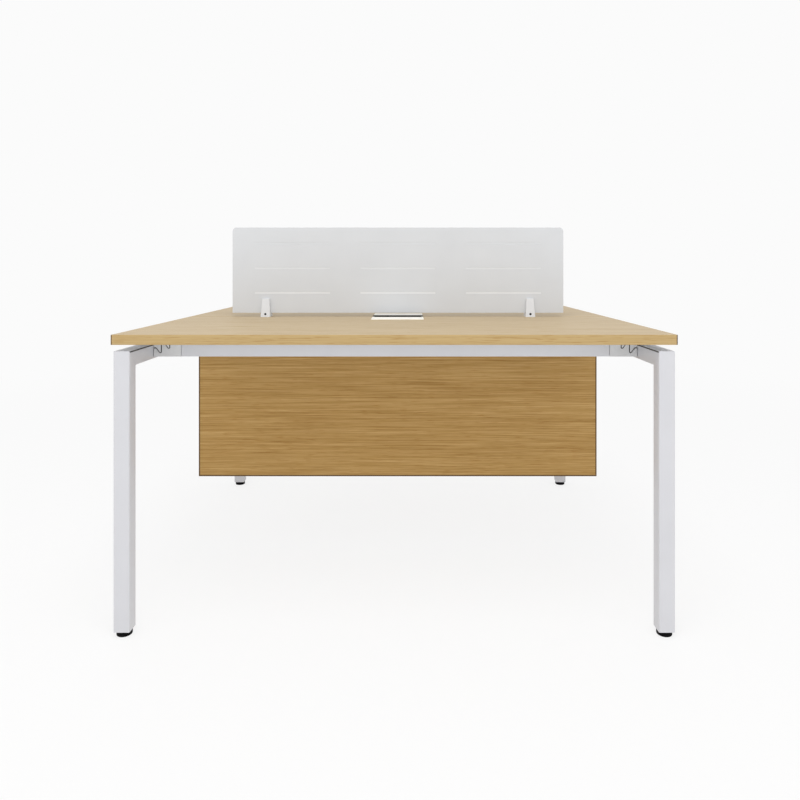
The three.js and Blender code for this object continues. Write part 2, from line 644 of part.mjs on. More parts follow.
// One user's half of the desk, made as the front half and turned round for the rear one
function deskHalf(end, screwHoles) {
  const rear = end === "rear";
  const half = turned(
    rear,
    piece(`${end}_worktop`, worktopBoard(screwHoles), laminate),
    piece(`${end}_worktop_edging`, worktopEdging(), edging),
    piece(`${end}_beam`, beam(), greyPaint),
    piece(`${end}_outlet_frame`, outletFrame(), whitePaint),
    piece(`${end}_outlet_lid`, outletLid(), whitePaint),
    piece(`${end}_outlet_hinge_pin`, outletPin(), zincSteel),
    piece(`${end}_outlet_brush_bar`, outletBrush(), blackPlastic),
  );
  const packerY = PACKER_SETBACK + PACKER_LENGTH / 2 - DESK_DEPTH / 2;
  for (const direction of [-1, 1]) {
    const corner = `${(direction < 0) !== rear ? "left" : "right"}_${end}`;
    half.add(placed(direction * legX, -legY, 0, ...footedLeg(corner)));
    half.add(placed(direction * legX, packerY, 0, piece(`${corner}_packer`, packer(), blackPlastic)));
    const joint = turned(
      direction > 0,
      piece(`${corner}_saddle`, saddle(), castGrey),
      piece(`${corner}_beam_hook`, hook(), castGrey),
    );
    half.add(placed(direction * frameInnerX, beamMiddleY, beamTop - BEAM_HEIGHT, joint));
  }
  return half;
}

const desk = new THREE.Group();
const anchorHoles = [-1, 1].map((direction) => [direction * clampX, -anchorY, ANCHOR_DIAMETER + 2 * FIT]);
desk.add(deskHalf("front", []), deskHalf("rear", anchorHoles));
for (const [side, direction] of [["left", -1], ["right", 1]]) {
  desk.add(
    placed(
      direction * legX, 0, 0,
      piece(`${side}_top_rail`, topRail(), greyPaint),
      piece(`${side}_middle_packer`, packer(), blackPlastic),
    ),
    placed(
      direction * clampX, 0, DESK_HEIGHT,
      piece(`${side}_clamp_body`, clampBody(), castGrey),
      piece(`${side}_clamp_jaw`, clampJaw(), castGrey),
      piece(`${side}_clamp_bolt`, clampBolt(), blackSteel),
      piece(`${side}_clamp_anchor`, clampAnchor(), zincSteel),
    ),
  );
  for (const [name, inset] of [["outer", BRACKET_OUTER], ["inner", BRACKET_INNER]]) {
    const bracket = piece(`${side}_${name}_panel_bracket`, modestyBracket(), zincSteel);
    desk.add(placed(direction * (panelEnd - inset), 0, 0, bracket));
  }
}
desk.add(
  piece("modesty_panel", modestyPanel(), laminate),
  piece("screen", screenBoardBody(), screenBoard),
);

export default desk;
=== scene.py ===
"""Dresses a benching desk for two people in a plain studio.

The frame gives each piece its place. Steel tubes, edgings, threads, bristles and screw heads are surfaces
worked out from formulas, cut and moulded fittings get softened edges, and every finish is a node material.
Metres, +X to the right of the front user, +Y towards the rear user, +Z up.
"""

import math

import bmesh
import bpy
import numpy as np
from bpy.props import FloatProperty, FloatVectorProperty, IntProperty, PointerProperty
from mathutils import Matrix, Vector


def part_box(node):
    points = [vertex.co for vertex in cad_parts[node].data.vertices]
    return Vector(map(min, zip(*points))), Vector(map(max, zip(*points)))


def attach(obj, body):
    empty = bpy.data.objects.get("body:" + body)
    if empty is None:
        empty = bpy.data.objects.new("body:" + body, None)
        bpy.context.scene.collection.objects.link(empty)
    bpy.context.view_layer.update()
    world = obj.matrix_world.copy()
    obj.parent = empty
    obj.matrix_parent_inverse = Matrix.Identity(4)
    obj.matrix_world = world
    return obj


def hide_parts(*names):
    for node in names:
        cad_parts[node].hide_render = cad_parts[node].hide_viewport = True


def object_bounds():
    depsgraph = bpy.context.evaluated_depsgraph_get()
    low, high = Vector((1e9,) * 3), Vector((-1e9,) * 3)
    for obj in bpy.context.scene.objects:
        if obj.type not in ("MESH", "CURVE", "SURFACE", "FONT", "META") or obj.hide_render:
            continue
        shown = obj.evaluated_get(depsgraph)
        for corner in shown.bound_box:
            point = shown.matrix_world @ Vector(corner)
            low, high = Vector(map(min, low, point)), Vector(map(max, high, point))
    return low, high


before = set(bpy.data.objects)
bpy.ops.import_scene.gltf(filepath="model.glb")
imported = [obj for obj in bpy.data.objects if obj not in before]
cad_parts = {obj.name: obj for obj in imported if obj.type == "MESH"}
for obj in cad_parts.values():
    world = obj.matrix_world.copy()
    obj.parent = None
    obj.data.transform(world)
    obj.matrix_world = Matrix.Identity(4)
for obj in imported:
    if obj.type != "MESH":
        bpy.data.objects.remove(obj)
CAD_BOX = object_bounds()

bl_info = {
    "name": "Benching desk for two",
    "version": (1, 0, 0),
    "blender": (4, 5, 0),
    "location": "3D View > Sidebar > Bench desk",
    "description": "Dresses the frame of a benching desk and sets up a plain studio",
    "category": "Object",
}

SIDES = ("left", "right")
ENDS = ("front", "rear")
CORNERS = tuple(f"{side}_{end}" for side in SIDES for end in ENDS)
DESK = "desk"

# Points closer than this are one point, in metres
MERGE_DISTANCE = 1e-6
# Faces that meet at more than this angle keep a crisp edge, in degrees
CRISP_ANGLE = 35.0
# Faces that meet at less than this angle are joined as one flat face, in degrees
FLAT_ANGLE = 0.5
# A face looks along an axis where that axis has more than this share of its direction
FACING = 0.5
# Points along each rounded corner and arris of a swept piece
CORNER_POINTS = 7
ARRIS_POINTS = 6
# Points round a foot pad, and round a threaded rod or a screw head
PAD_COLUMNS = 64
ROD_COLUMNS = 24
# Rows of points along one turn of a thread
THREAD_ROWS = 6
# Distance of a socket's flats from the axis, as a share of the screw head's radius
SOCKET_SHARE = 0.42
# Screws along a bracket, up its upright part and out on its level part, as shares of its box
SCREW_SHARES = (0.25, 0.75)
SCREW_RISE = 0.4
SCREW_REACH = 0.62
# Least corner radius of a tube's bore, as a share of its wall
LEAST_BORE_CORNER = 0.25
# Decimals that the places of the screen's grooves are rounded to, in metres
GROOVE_DECIMALS = 5
# Edge radius of the dark strip, as a share of its thickness
STRIP_ROUNDNESS = 0.4
# Typical lean of a bristle's tip along X, Y and Z, in metres
BRISTLE_LEAN = (0.0007, 0.0004, 0.00035)
# Share of the full length that the shortest bristle has, and share of its width that a tip loses
SHORTEST_BRISTLE = 0.9
BRISTLE_TAPER = 0.5
# Distance from one row of bristles to the next, in bristle radii
BRISTLE_PITCH = 3

# Values of a noise between which most of it lies
NOISE_LOW = 0.3
NOISE_HIGH = 0.7
# Values of a noise where a finish is darkest, middling and palest
GRAIN_STOPS = (0.3, 0.5, 0.69)
EVEN_STOPS = (0.3, 0.5, 0.7)
WORN_STOPS = (0.3, 0.55, 0.75)
# Values of a noise where a pore begins and where it is fully open
PORE_RANGE = (0.58, 0.72)
# Height of an open pore's floor, where the face has a height of 1
PORE_FLOOR = 0.7
# How quickly the grain wanders, in patches to a metre
WANDER_SCALE = 1.6
# Sizes of a scuff, of a cloud in the plating and of a drawn line along X, Y and Z, in metres
SCUFF_SIZE = (0.02, 0.02, 0.006)
CLOUD_SIZE = (0.012, 0.012, 0.012)
DRAWN_LINE_SIZE = (0.03, 0.0006, 0.0006)

# Width of the camera's sensor, in millimetres
SENSOR_WIDTH = 36.0
# Each light's place, the point that it faces and its side, in metres
LIGHTS = {
    "key": ((-2.6, -3.2, 1.6), (0.0, 0.0, 0.6), 2.4),
    "fill": ((2.6, -3.2, 1.0), (0.0, 0.0, 0.6), 2.0),
    "top": ((0.0, -1.6, 3.5), (0.0, -0.1, 0.7), 1.6),
}

# The materials by the names of their finishes, once they are made
FINISHES = {}


# Settings


def length(name, description, default):
    """A length that a user may change, in metres."""
    limits = {"min": 0.0, "precision": 5, "subtype": "DISTANCE", "unit": "LENGTH"}
    return FloatProperty(name=name, description=description, default=default, **limits)


def share(name, description, default):
    """A share from 0 to 1 that a user may change."""
    limits = {"min": 0.0, "max": 1.0, "subtype": "FACTOR"}
    return FloatProperty(name=name, description=description, default=default, **limits)


def number(name, description, default):
    """A plain number that a user may change."""
    return FloatProperty(name=name, description=description, default=default)


def count(name, description, default):
    """A whole number that a user may change."""
    return IntProperty(name=name, description=description, default=default, min=1)


def colour(name, description, default):
    """A linear colour that a user may change."""
    limits = {"size": 3, "min": 0.0, "max": 1.0, "subtype": "COLOR"}
    return FloatVectorProperty(name=name, description=description, default=default, **limits)


class DeskWoodSettings(bpy.types.PropertyGroup):
    """The oak-look laminate and its edging."""

    # The worktops' tones are the laminate's grain with a painted sheen and painted top light in them, which
    # make them paler and greyer than the edging's
    dark: colour("Dark grain", "Colour of the worktops' darkest streaks", (0.386, 0.278, 0.149))
    middle: colour("Middle tone", "Colour of most of the worktops", (0.497, 0.386, 0.234))
    pale: colour("Pale grain", "Colour of the worktops' palest streaks", (0.576, 0.469, 0.311))
    # The panel's tones are its grain with painted shade from the worktops above, which makes them darker and
    # more saturated than the worktops'
    panel_dark: colour("Dark panel grain", "Colour of the panel's darkest streaks", (0.27, 0.136, 0.026))
    panel_middle: colour("Middle panel tone", "Colour of most of the panel", (0.422, 0.25, 0.075))
    panel_pale: colour("Pale panel grain", "Colour of the panel's palest streaks", (0.555, 0.36, 0.14))
    edge_dark: colour("Dark edging", "Colour of the edging's darkest streaks", (0.422, 0.286, 0.121))
    edge_middle: colour("Middle edging", "Colour of most of the edging", (0.47, 0.33, 0.147))
    edge_pale: colour("Pale edging", "Colour of the edging's palest streaks", (0.514, 0.371, 0.175))
    backing: colour("Backing", "Colour of the pale sheet under the worktops", (0.84, 0.84, 0.82))
    joint: colour("Joint", "Colour of the edging's cut ends and glue lines", (0.11, 0.06, 0.02))
    corner_joint: length("Corner joint", "Width of the edging's dark ends at the desk's corners", 0.0036)
    # The panel's face turns near-black within this width of its ends, top and bottom
    panel_edge: length("Panel edge", "Width of the panel's edge band, seen from the front", 0.0044)
    streak_width: length("Streak width", "Width of a fine streak across the grain", 0.0021)
    streak_length: length("Streak length", "Length of a fine streak along the grain", 0.22)
    band_share: share("Band share", "How much of the tone comes from the broad bands", 0.17)
    drift: length("Drift", "How far the grain wanders to the side", 0.005)
    band_width: length("Band width", "Width of a broad tone across the grain", 0.016)
    band_length: length("Band length", "Length of a broad tone along the grain", 1.3)
    pore_tint: colour("Pore tint", "What a pore's colour is multiplied by", (0.83, 0.74, 0.6))
    pore_width: length("Pore width", "Width of a pore across the grain", 0.0024)
    pore_length: length("Pore length", "Length of a pore along the grain", 0.045)
    gloss: share("Gloss", "Strength of the laminate's mirror-like part", 0.3)
    smooth: share("Smoothest", "Roughness of the laminate's smoothest streaks", 0.46)
    rough: share("Roughest", "Roughness of the laminate's roughest streaks", 0.6)


class DeskPaintSettings(bpy.types.PropertyGroup):
    """Painted steel, castings, the screen's board and the white outlets."""

    grey: colour("Frame grey", "Colour of the powder coat on the frame", (0.598, 0.6, 0.627))
    cast: colour("Casting grey", "Colour of the painted castings", (0.64, 0.642, 0.65))
    clamp: colour("Clamp grey", "Colour of the painted clamps", (0.688, 0.704, 0.731))
    screen: colour("Screen", "Colour of the screen's board", (0.628, 0.649, 0.679))
    # The pale strips in the screen's grooves are painted highlights for light caught by the grooves' ledges:
    # palest in the lowest row, darkest in the highest
    low_groove_highlight: colour("Low inlay", "Colour of the strips in the lowest grooves", (0.738, 0.755, 0.782))
    middle_inlay: colour("Middle inlay", "Colour of the strips in the middle grooves", (0.681, 0.7, 0.729))
    high_groove_highlight: colour("High inlay", "Colour of the strips in the highest grooves", (0.643, 0.664, 0.697))
    white: colour("Outlet white", "Colour of the outlets' frames and lids", (0.97, 0.945, 0.865))
    grain: length("Coat grain", "Size of the powder coat's orange peel", 0.0009)
    mottle: length("Mottle", "Size of the coat's slow change of tone", 0.11)
    smooth: share("Smoothest", "Roughness of the coat where it is smoothest", 0.36)
    rough: share("Roughest", "Roughness of the coat where it is roughest", 0.5)


class DeskFittingSettings(bpy.types.PropertyGroup):
    """Plastic and bare metal fittings."""

    gloss: share("Moulding gloss", "Strength of the moulded plastic's mirror-like part", 0.04)
    black: colour("Black moulding", "Colour of the moulded plastic", (0.004, 0.004, 0.0045))
    # A near-black for the strip along each rail's inner top edge, and for the hooks' cores as painted shade
    # in the joints
    strip: colour("Dark strip", "Colour of the damping strips on the rails", (0.075, 0.072, 0.07))
    bristle: colour("Bristle", "Colour of the outlets' brush", (0.02, 0.02, 0.022))
    zinc: colour("Zinc", "Colour of zinc-plated steel", (0.56, 0.57, 0.58))
    black_steel: colour("Black steel", "Colour of blackened steel", (0.025, 0.025, 0.028))
    edge_rounding: length("Edge rounding", "Radius of the softened edges on fittings", 0.0006)
    fine_rounding: length("Fine rounding", "Radius of the softened edges on screen and outlets", 0.0003)
    casting_rounding: length("Casting rounding", "Radius of the softened edges on the clamps", 0.0014)
    rounding_steps: count("Rounding steps", "Faces across a softened edge", 3)
    tooth_depth: length("Tooth depth", "Depth of a hook's painted teeth, from its side faces", 0.0015)
    strip_width: length("Strip width", "Height of the damping strip", 0.0032)
    strip_thickness: length("Strip thickness", "How far the damping strip stands off the rail", 0.0012)
    strip_drop: length("Strip drop", "From the rail's top face down to the strip", 0.0008)
    # Place of the strips that carry the screen's painted highlights
    groove_highlight_depth: length("Inlay depth", "From the screen's face down to an inlay strip", 0.00025)
    groove_highlight_gap: length("Inlay gap", "From a groove's sides to its inlay strip", 0.0001)


class DeskFrameSettings(bpy.types.PropertyGroup):
    """Tubes, edgings, feet, brushes and screws."""

    tube_corner: length("Tube corner", "Outer corner radius of the legs and rails", 0.003)
    tube_wall: length("Tube wall", "Wall of the legs and rails", 0.002)
    beam_corner: length("Beam corner", "Outer corner radius of the beams", 0.0025)
    beam_wall: length("Beam wall", "Wall of the beams", 0.002)
    board_rounding: length("Board rounding", "Width of the worktops' eased edges", 0.0001)
    edging: length("Edging", "Thickness of the worktops' edging", 0.002)
    worktop_corner: length("Worktop corner", "Corner radius of the worktops, seen from above", 0.003)
    arris: length("Arris", "Radius along the edging's upper and lower edges", 0.0012)
    pad_rounding: length("Pad rounding", "Radius at the foot pads' rims", 0.0025)
    thread_pitch: length("Thread pitch", "Pitch of the feet's threaded stems", 0.00125)
    thread_depth: length("Thread depth", "Depth of the feet's threads", 0.0006)
    bristle_length: length("Bristle length", "How far the bristles reach over the slot", 0.0082)
    bristle_radius: length("Bristle radius", "Radius of a bristle at its root", 0.00034)
    bristle_columns: count("Bristle columns", "Bristles along each brush", 170)
    bristle_rows: count("Bristle rows", "Bristles above each other", 3)
    bristle_margin: length("Bristle margin", "From the lid's edges to the outermost bristles", 0.001)
    bracket_wall: length("Bracket wall", "Thickness of the panel's brackets", 0.003)
    screw_radius: length("Screw radius", "Radius of a screw's head", 0.0052)
    screw_height: length("Screw height", "Height of a screw's head", 0.0026)
    bolt_radius: length("Bolt radius", "Radius of a rail bolt's head", 0.0065)
    bolt_height: length("Bolt height", "Height of a rail bolt's head", 0.0034)


class DeskStageSettings(bpy.types.PropertyGroup):
    """The floor, the lights and the camera."""

    floor: colour("Floor", "Colour of the floor and the backdrop", (0.965, 0.965, 0.965))
    floor_share: share("Even floor", "Share of the floor's look near the desk that takes no shadow", 0.82)
    floor_near: length("Near floor", "How far from the desk's middle the floor keeps its full shadow", 1.3)
    floor_far: length("Far floor", "How far from the desk's middle the floor takes no shadow", 4.5)
    floor_size: length("Floor size", "Side of the floor", 60.0)
    world: number("World light", "Strength of the even light from all round", 0.83)
    key: number("Key light", "Power of the large light at the front left, in watts", 18.0)
    fill: number("Fill light", "Power of the large light at the front right, in watts", 14.5)
    top: number("Top light", "Power of the large light overhead, in watts", 36.0)
    camera: FloatVectorProperty(
        name="Camera",
        description="Place of the camera",
        default=(0.0349, -2.2444, 0.9192),
        size=3,
        subtype="TRANSLATION",
        unit="LENGTH",
    )
    lens: number("Lens", "Focal length on a 36 mm sensor, in millimetres", 30.02)
    shift_x: number("Shift across", "Sideways shift of the lens, as a share of the picture", -0.01045)
    shift_y: number("Shift down", "Upward shift of the lens, as a share of the picture", -0.16724)


class DeskSettings(bpy.types.PropertyGroup):
    """All that a user may change."""

    wood: PointerProperty(type=DeskWoodSettings)
    paint: PointerProperty(type=DeskPaintSettings)
    fitting: PointerProperty(type=DeskFittingSettings)
    structure: PointerProperty(type=DeskFrameSettings)
    stage: PointerProperty(type=DeskStageSettings)


# Surfaces


def grid_quads(rows, columns, closed_rows=False):
    """Corner numbers of the quads between the points of a grid, which are numbered row by row.

    Each row is a ring. Closed rows also join the last ring to the first.
    """
    row = np.arange(rows if closed_rows else rows - 1)[:, None]
    column = np.arange(columns)[None, :]
    next_row = (row + 1) % rows
    next_column = (column + 1) % columns
    corners = (
        row * columns + column,
        row * columns + next_column,
        next_row * columns + next_column,
        next_row * columns + column,
    )
    return np.stack(corners, -1).reshape(-1, 4)


def repeated(faces, points_each, copies):
    """The faces of several like shapes, whose points follow each other."""
    first = np.arange(copies)[:, None, None] * points_each
    return (faces[None, :, :] + first).reshape(-1, faces.shape[1])


def rounded_loop(width, height, radius):
    """Points round a rectangle with round corners, and the direction outwards at each.

    Corner k is a quarter circle from k to k + 1 right angles about its own centre, and the straight sides
    are the steps from one quarter circle to the next.
    """
    angle = (np.arange(4)[:, None] + np.linspace(0.0, 1.0, CORNER_POINTS)[None, :]) * math.pi / 2
    outward = np.stack([np.cos(angle), np.sin(angle)], -1)
    quarter = np.array([(1, 1), (-1, 1), (-1, -1), (1, -1)], float)[:, None, :]
    centre = quarter * (np.array([width, height]) / 2 - radius)
    return (centre + radius * outward).reshape(-1, 2), outward.reshape(-1, 2)


def arris_profile(thickness, low, high, radius):
    """A section as (distance outwards, height): flat inside, with two quarter circles as outer arrises."""
    quarter = np.linspace(0.0, math.pi / 2, ARRIS_POINTS)
    lower = np.stack([radius * (np.sin(quarter) - 1), low + radius * (1 - np.cos(quarter))], -1)
    upper = np.stack([radius * (np.cos(quarter) - 1), high - radius * (1 - np.sin(quarter))], -1)
    return np.concatenate([[(-thickness, low)], lower, upper, [(-thickness, high)]])


def carried_round(profile, loop, outward, middle):
    """A profile carried round a level loop about a middle.

    Each point is the loop's point plus its outward direction times the profile's distance, at the profile's
    height.
    """
    level = loop[:, None, :] + outward[:, None, :] * profile[None, :, :1] + middle
    height = np.broadcast_to(profile[None, :, 1:], level.shape[:2] + (1,))
    points = np.concatenate([level, height], -1)
    return points, grid_quads(*points.shape[:2], closed_rows=True)


def tube_surface(outer, bore, first, last, order):
    """A tube: the outer outline from its first end to its last, then the bore back, closed both ways.

    Each end's place along the tube is a function of the outline's second coordinate, which makes a mitre.
    Order says which axes the outline's two coordinates and the tube's own run lie on.
    """
    rings = ((outer, first), (outer, last), (bore, last), (bore, first))
    points = np.stack([np.column_stack([line, end(line[:, 1])]) for line, end in rings])
    placed = np.empty_like(points)
    placed[..., order] = points
    return placed, grid_quads(*points.shape[:2], closed_rows=True)


def turned_surface(profile, columns, centre):
    """A profile of (radius, height) turned about an upright line; a radius of 0 closes it on the line."""
    angle = np.linspace(0.0, 2 * math.pi, columns, endpoint=False)
    radius = profile[:, None, 0]
    height = np.broadcast_to(profile[:, None, 1], (len(profile), columns))
    points = np.stack([radius * np.cos(angle), radius * np.sin(angle), height], -1) + centre
    return points, grid_quads(*points.shape[:2])


def threaded_surface(radius, depth, pitch, low, high):
    """A threaded rod about the Z axis.

    The radius falls from the crest by the depth times a triangle wave of height over pitch less the angle's
    share of a turn, so the crest is a helix. The ends close on the axis.
    """
    rows = int(THREAD_ROWS * (high - low) / pitch)
    height = np.linspace(low, high, rows)[:, None]
    angle = np.linspace(0.0, 2 * math.pi, ROD_COLUMNS, endpoint=False)[None, :]
    phase = (height / pitch - angle / (2 * math.pi)) % 1.0
    around = radius - depth * np.abs(2 * phase - 1)
    level = np.broadcast_to(height, around.shape)
    body = np.stack([around * np.cos(angle), around * np.sin(angle), level], -1)
    ends = [np.broadcast_to((0.0, 0.0, end), (1, ROD_COLUMNS, 3)) for end in (low, high)]
    points = np.concatenate([ends[0], body, ends[1]])
    return points, grid_quads(*points.shape[:2])


def screw_head(radius, height):
    """A round screw head on the XY plane, with a six-sided socket.

    Each ring is a radius and a height, as shares of the head's own. In the socket the radius is the
    hexagon's: its flat's distance over the cosine of the angle from the middle of that flat.
    """
    angle = np.linspace(0.0, 2 * math.pi, ROD_COLUMNS, endpoint=False)
    sixth = math.pi / 3
    hexagon = SOCKET_SHARE / np.cos((angle + sixth / 2) % sixth - sixth / 2)
    shares = (
        (0.0, 0.3),
        (hexagon, 0.3),
        (hexagon, 0.96),
        (0.58, 1.0),
        (0.8, 0.88),
        (0.94, 0.6),
        (1.0, 0.22),
        (1.0, 0.0),
        (0.0, 0.0),
    )
    circle = radius * np.stack([np.cos(angle), np.sin(angle)], -1)
    rings = [np.insert(circle * np.reshape(out, (-1, 1)), 2, up * height, axis=1) for out, up in shares]
    return np.stack(rings)


def bristle_surfaces(roots, reach, radius, seed):
    """Three-sided bristles, one from each root along the reach.

    A bristle's point is its root, plus the reach times how far along it lies, plus a lean that grows with
    the square of that, plus a triangle that tapers towards the tip.
    """
    draw = np.random.default_rng(seed)
    along = np.array([0.0, 0.5, 1.0])[None, :, None, None]
    lean = draw.normal(0.0, 1.0, (len(roots), 1, 1, 3)) * BRISTLE_LEAN
    stretch = draw.uniform(SHORTEST_BRISTLE, 1.0, (len(roots), 1, 1, 1))
    turn = np.arange(3) * 2 * math.pi / 3
    triangle = np.stack([np.cos(turn), np.zeros(3), np.sin(turn)], -1)[None, None, :, :] * radius
    spine = roots[:, None, None, :] + reach * along * stretch + lean * along**2
    points = spine + triangle * (1 - BRISTLE_TAPER * along)
    each = along.size * len(turn)
    sides = repeated(grid_quads(along.size, len(turn)), each, len(roots))
    caps = repeated(np.array([(0, 1, 2), (each - 1, each - 2, each - 3)]), each, len(roots))
    return points, sides, caps


# Pieces


def corners_of(node):
    """The lowest and the highest corner of a node's box, as arrays."""
    return [np.array(corner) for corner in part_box(node)]


def shade(mesh):
    """Shades a mesh smooth, but for its crisp edges."""
    mesh.polygons.foreach_set("use_smooth", np.ones(len(mesh.polygons), bool))
    mesh.set_sharp_from_angle(angle=math.radians(CRISP_ANGLE))


def face_values(mesh, name):
    """One vector for each of a mesh's faces, such as its normal or its center."""
    values = np.empty(3 * len(mesh.polygons), np.float32)
    mesh.polygons.foreach_get(name, values)
    return values.reshape(-1, 3)


def tie_piece(name, mesh, finishes, body, replaced):
    """Links a mesh as a piece with its finishes that rides on a body and stands for some nodes."""
    for finish in finishes:
        mesh.materials.append(FINISHES[finish])
    piece = bpy.data.objects.new(name, mesh)
    bpy.context.scene.collection.objects.link(piece)
    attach(piece, body)
    if replaced:
        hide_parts(*replaced)
    return piece


def add_piece(name, points, quads, finish, body=DESK, replaced=(), caps=()):
    """Makes a piece from its points and faces: doubles merged, faces outwards, crisp edges kept."""
    mesh = bpy.data.meshes.new(name)
    mesh.from_pydata(points.reshape(-1, 3).tolist(), [], [*quads.tolist(), *caps])
    shape = bmesh.new()
    shape.from_mesh(mesh)
    bmesh.ops.remove_doubles(shape, verts=shape.verts, dist=MERGE_DISTANCE)
    bmesh.ops.recalc_face_normals(shape, faces=shape.faces)
    shape.to_mesh(mesh)
    shape.free()
    shade(mesh)
    tie_piece(name, mesh, (finish,), body, replaced)


def add_tube(node, run, corner, wall, first, last):
    """A tube in a node's place along the axis run, with its ends as tube_surface takes them."""
    low, high = corners_of(node)
    across = [axis for axis in range(3) if axis != run]
    width, height = (high - low)[across]
    middle = ((low + high) / 2)[across]
    outer, _ = rounded_loop(width, height, corner)
    bore, _ = rounded_loop(width - 2 * wall, height - 2 * wall, max(corner - wall, LEAST_BORE_CORNER * wall))
    points, quads = tube_surface(outer + middle, bore + middle, first, last, [*across, run])
    add_piece(f"{node}_finish", points, quads, "frame", replaced=(node,))


def add_screws(name, radius, height, centres, order, outward):
    """Like screw heads at several places. Order says which axes the head's own axes lie on."""
    head = screw_head(radius, height)
    turned = np.empty_like(head)
    turned[..., order] = head * (1.0, 1.0, outward)
    points = np.array(centres)[:, None, None, :] + turned[None]
    rows, columns = head.shape[:2]
    quads = repeated(grid_quads(rows, columns), rows * columns, len(centres))
    add_piece(name, points, quads, "zinc")


def softened(node, finishes, rounding=None, steps=None, body=DESK, second=None):
    """A copy of a node with its flat faces joined up and its sharp edges rounded.

    Where no rounding or no steps are given, the fittings' own hold. Second says which faces take the second
    finish, from the faces' directions and middles.
    """
    fitting = bpy.context.scene.bench_desk.fitting
    shape = bmesh.new()
    shape.from_mesh(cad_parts[node].data)
    bmesh.ops.remove_doubles(shape, verts=shape.verts, dist=MERGE_DISTANCE)
    flat = math.radians(FLAT_ANGLE)
    bmesh.ops.dissolve_limit(shape, angle_limit=flat, verts=shape.verts, edges=shape.edges)
    shape.normal_update()
    mesh = bpy.data.meshes.new(f"{node}_finish")
    shape.to_mesh(mesh)
    shape.free()
    piece = tie_piece(f"{node}_finish", mesh, finishes, body, (node,))
    shade(mesh)
    if second is not None:
        chosen = second(face_values(mesh, "normal"), face_values(mesh, "center"))
        mesh.polygons.foreach_set("material_index", chosen.astype(np.int32))
    bevel = piece.modifiers.new("Softened edges", "BEVEL")
    bevel.width = rounding or fitting.edge_rounding
    bevel.segments = steps or fitting.rounding_steps
    bevel.limit_method = "ANGLE"
    bevel.angle_limit = math.radians(CRISP_ANGLE)
    evened = piece.modifiers.new("Even shading", "WEIGHTED_NORMAL")
    evened.keep_sharp = True


def finish_node(node, finish):
    """Gives a node that stays as it is its finish."""
    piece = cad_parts[node]
    piece.data.materials.clear()
    piece.data.materials.append(FINISHES[finish])


# Finishes


def add_node(tree, kind, inputs=None, **settings):
    """Adds a node. An input that is a socket gets a link, and any other input its value."""
    made = tree.nodes.new(kind)
    for name, value in settings.items():
        setattr(made, name, value)
    for name, value in (inputs or {}).items():
        if isinstance(value, bpy.types.NodeSocket):
            tree.links.new(value, made.inputs[name])
        else:
            made.inputs[name].default_value = value
    return made


def start_finish(name, gloss=None, metallic=0.0):
    """A new material, its tree, its shader and the piece's own coordinates."""
    material = bpy.data.materials.new(name)
    material.use_nodes = True
    tree = material.node_tree
    shader = tree.nodes["Principled BSDF"]
    shader.inputs["Metallic"].default_value = metallic
    if gloss is not None:
        shader.inputs["Specular IOR Level"].default_value = gloss
    place = add_node(tree, "ShaderNodeTexCoord").outputs["Object"]
    return material, tree, shader, place


def maths(tree, operation, *values):
    """The result of an operation on sockets and numbers."""
    return add_node(tree, "ShaderNodeMath", dict(enumerate(values)), operation=operation).outputs[0]


def noise(tree, place, size, detail=2.0, roughness=0.5):
    """Noise whose patches are the given size along each axis, in metres."""
    scale = tuple(1.0 / side for side in size)
    mapping = add_node(tree, "ShaderNodeMapping", {"Vector": place, "Scale": scale})
    inputs = {"Vector": mapping.outputs["Vector"], "Scale": 1.0, "Detail": detail, "Roughness": roughness}
    return add_node(tree, "ShaderNodeTexNoise", inputs).outputs["Fac"]


def ramp(tree, factor, stops):
    """A colour that follows a factor through several stops."""
    made = add_node(tree, "ShaderNodeValToRGB", {"Fac": factor})
    elements = made.color_ramp.elements
    elements[0].position = stops[0][0]
    elements[0].color = (*stops[0][1], 1.0)
    elements[1].position = stops[-1][0]
    elements[1].color = (*stops[-1][1], 1.0)
    for position, tone in stops[1:-1]:
        elements.new(position).color = (*tone, 1.0)
    return made.outputs["Color"]


def spread(tree, value, low, high, to_low, to_high):
    """A value that goes from one range to another, and stays inside it."""
    inputs = {"Value": value, "From Min": low, "From Max": high, "To Min": to_low, "To Max": to_high}
    return add_node(tree, "ShaderNodeMapRange", inputs).outputs["Result"]


def mixed(tree, first, second, second_share):
    """Two values added, the second times its share and the first times the rest."""
    part = maths(tree, "MULTIPLY", first, 1.0 - second_share)
    return maths(tree, "MULTIPLY_ADD", second, second_share, part)


def blended(tree, amount, first, second, way="MIX"):
    """Two colours blended. The node's inputs 6 and 7 and its output 2 are the ones for colours."""
    inputs = {0: amount, 6: first, 7: second}
    return add_node(tree, "ShaderNodeMix", inputs, data_type="RGBA", blend_type=way).outputs[2]


def bump(tree, shader, height, strength, distance):
    """Lets a height roughen the shader's surface, by a distance in metres."""
    inputs = {"Height": height, "Strength": strength, "Distance": distance}
    made = add_node(tree, "ShaderNodeBump", inputs)
    tree.links.new(made.outputs["Normal"], shader.inputs["Normal"])


def scaled(tone, factor):
    """A colour times a factor."""
    return tuple(min(1.0, channel * factor) for channel in tone)


def shades(tone, darker, paler):
    """A colour between a darker and a paler one, which are the colour times those factors."""
    return scaled(tone, darker), tone, scaled(tone, paler)


def vary(tree, shader, factor, tones, stops, roughness):
    """Lets a noise drive the shader's roughness between two values, and gives the tone that it picks."""
    uneven = spread(tree, factor, NOISE_LOW, NOISE_HIGH, *roughness)
    tree.links.new(uneven, shader.inputs["Roughness"])
    return ramp(tree, factor, list(zip(stops, tones, strict=True)))


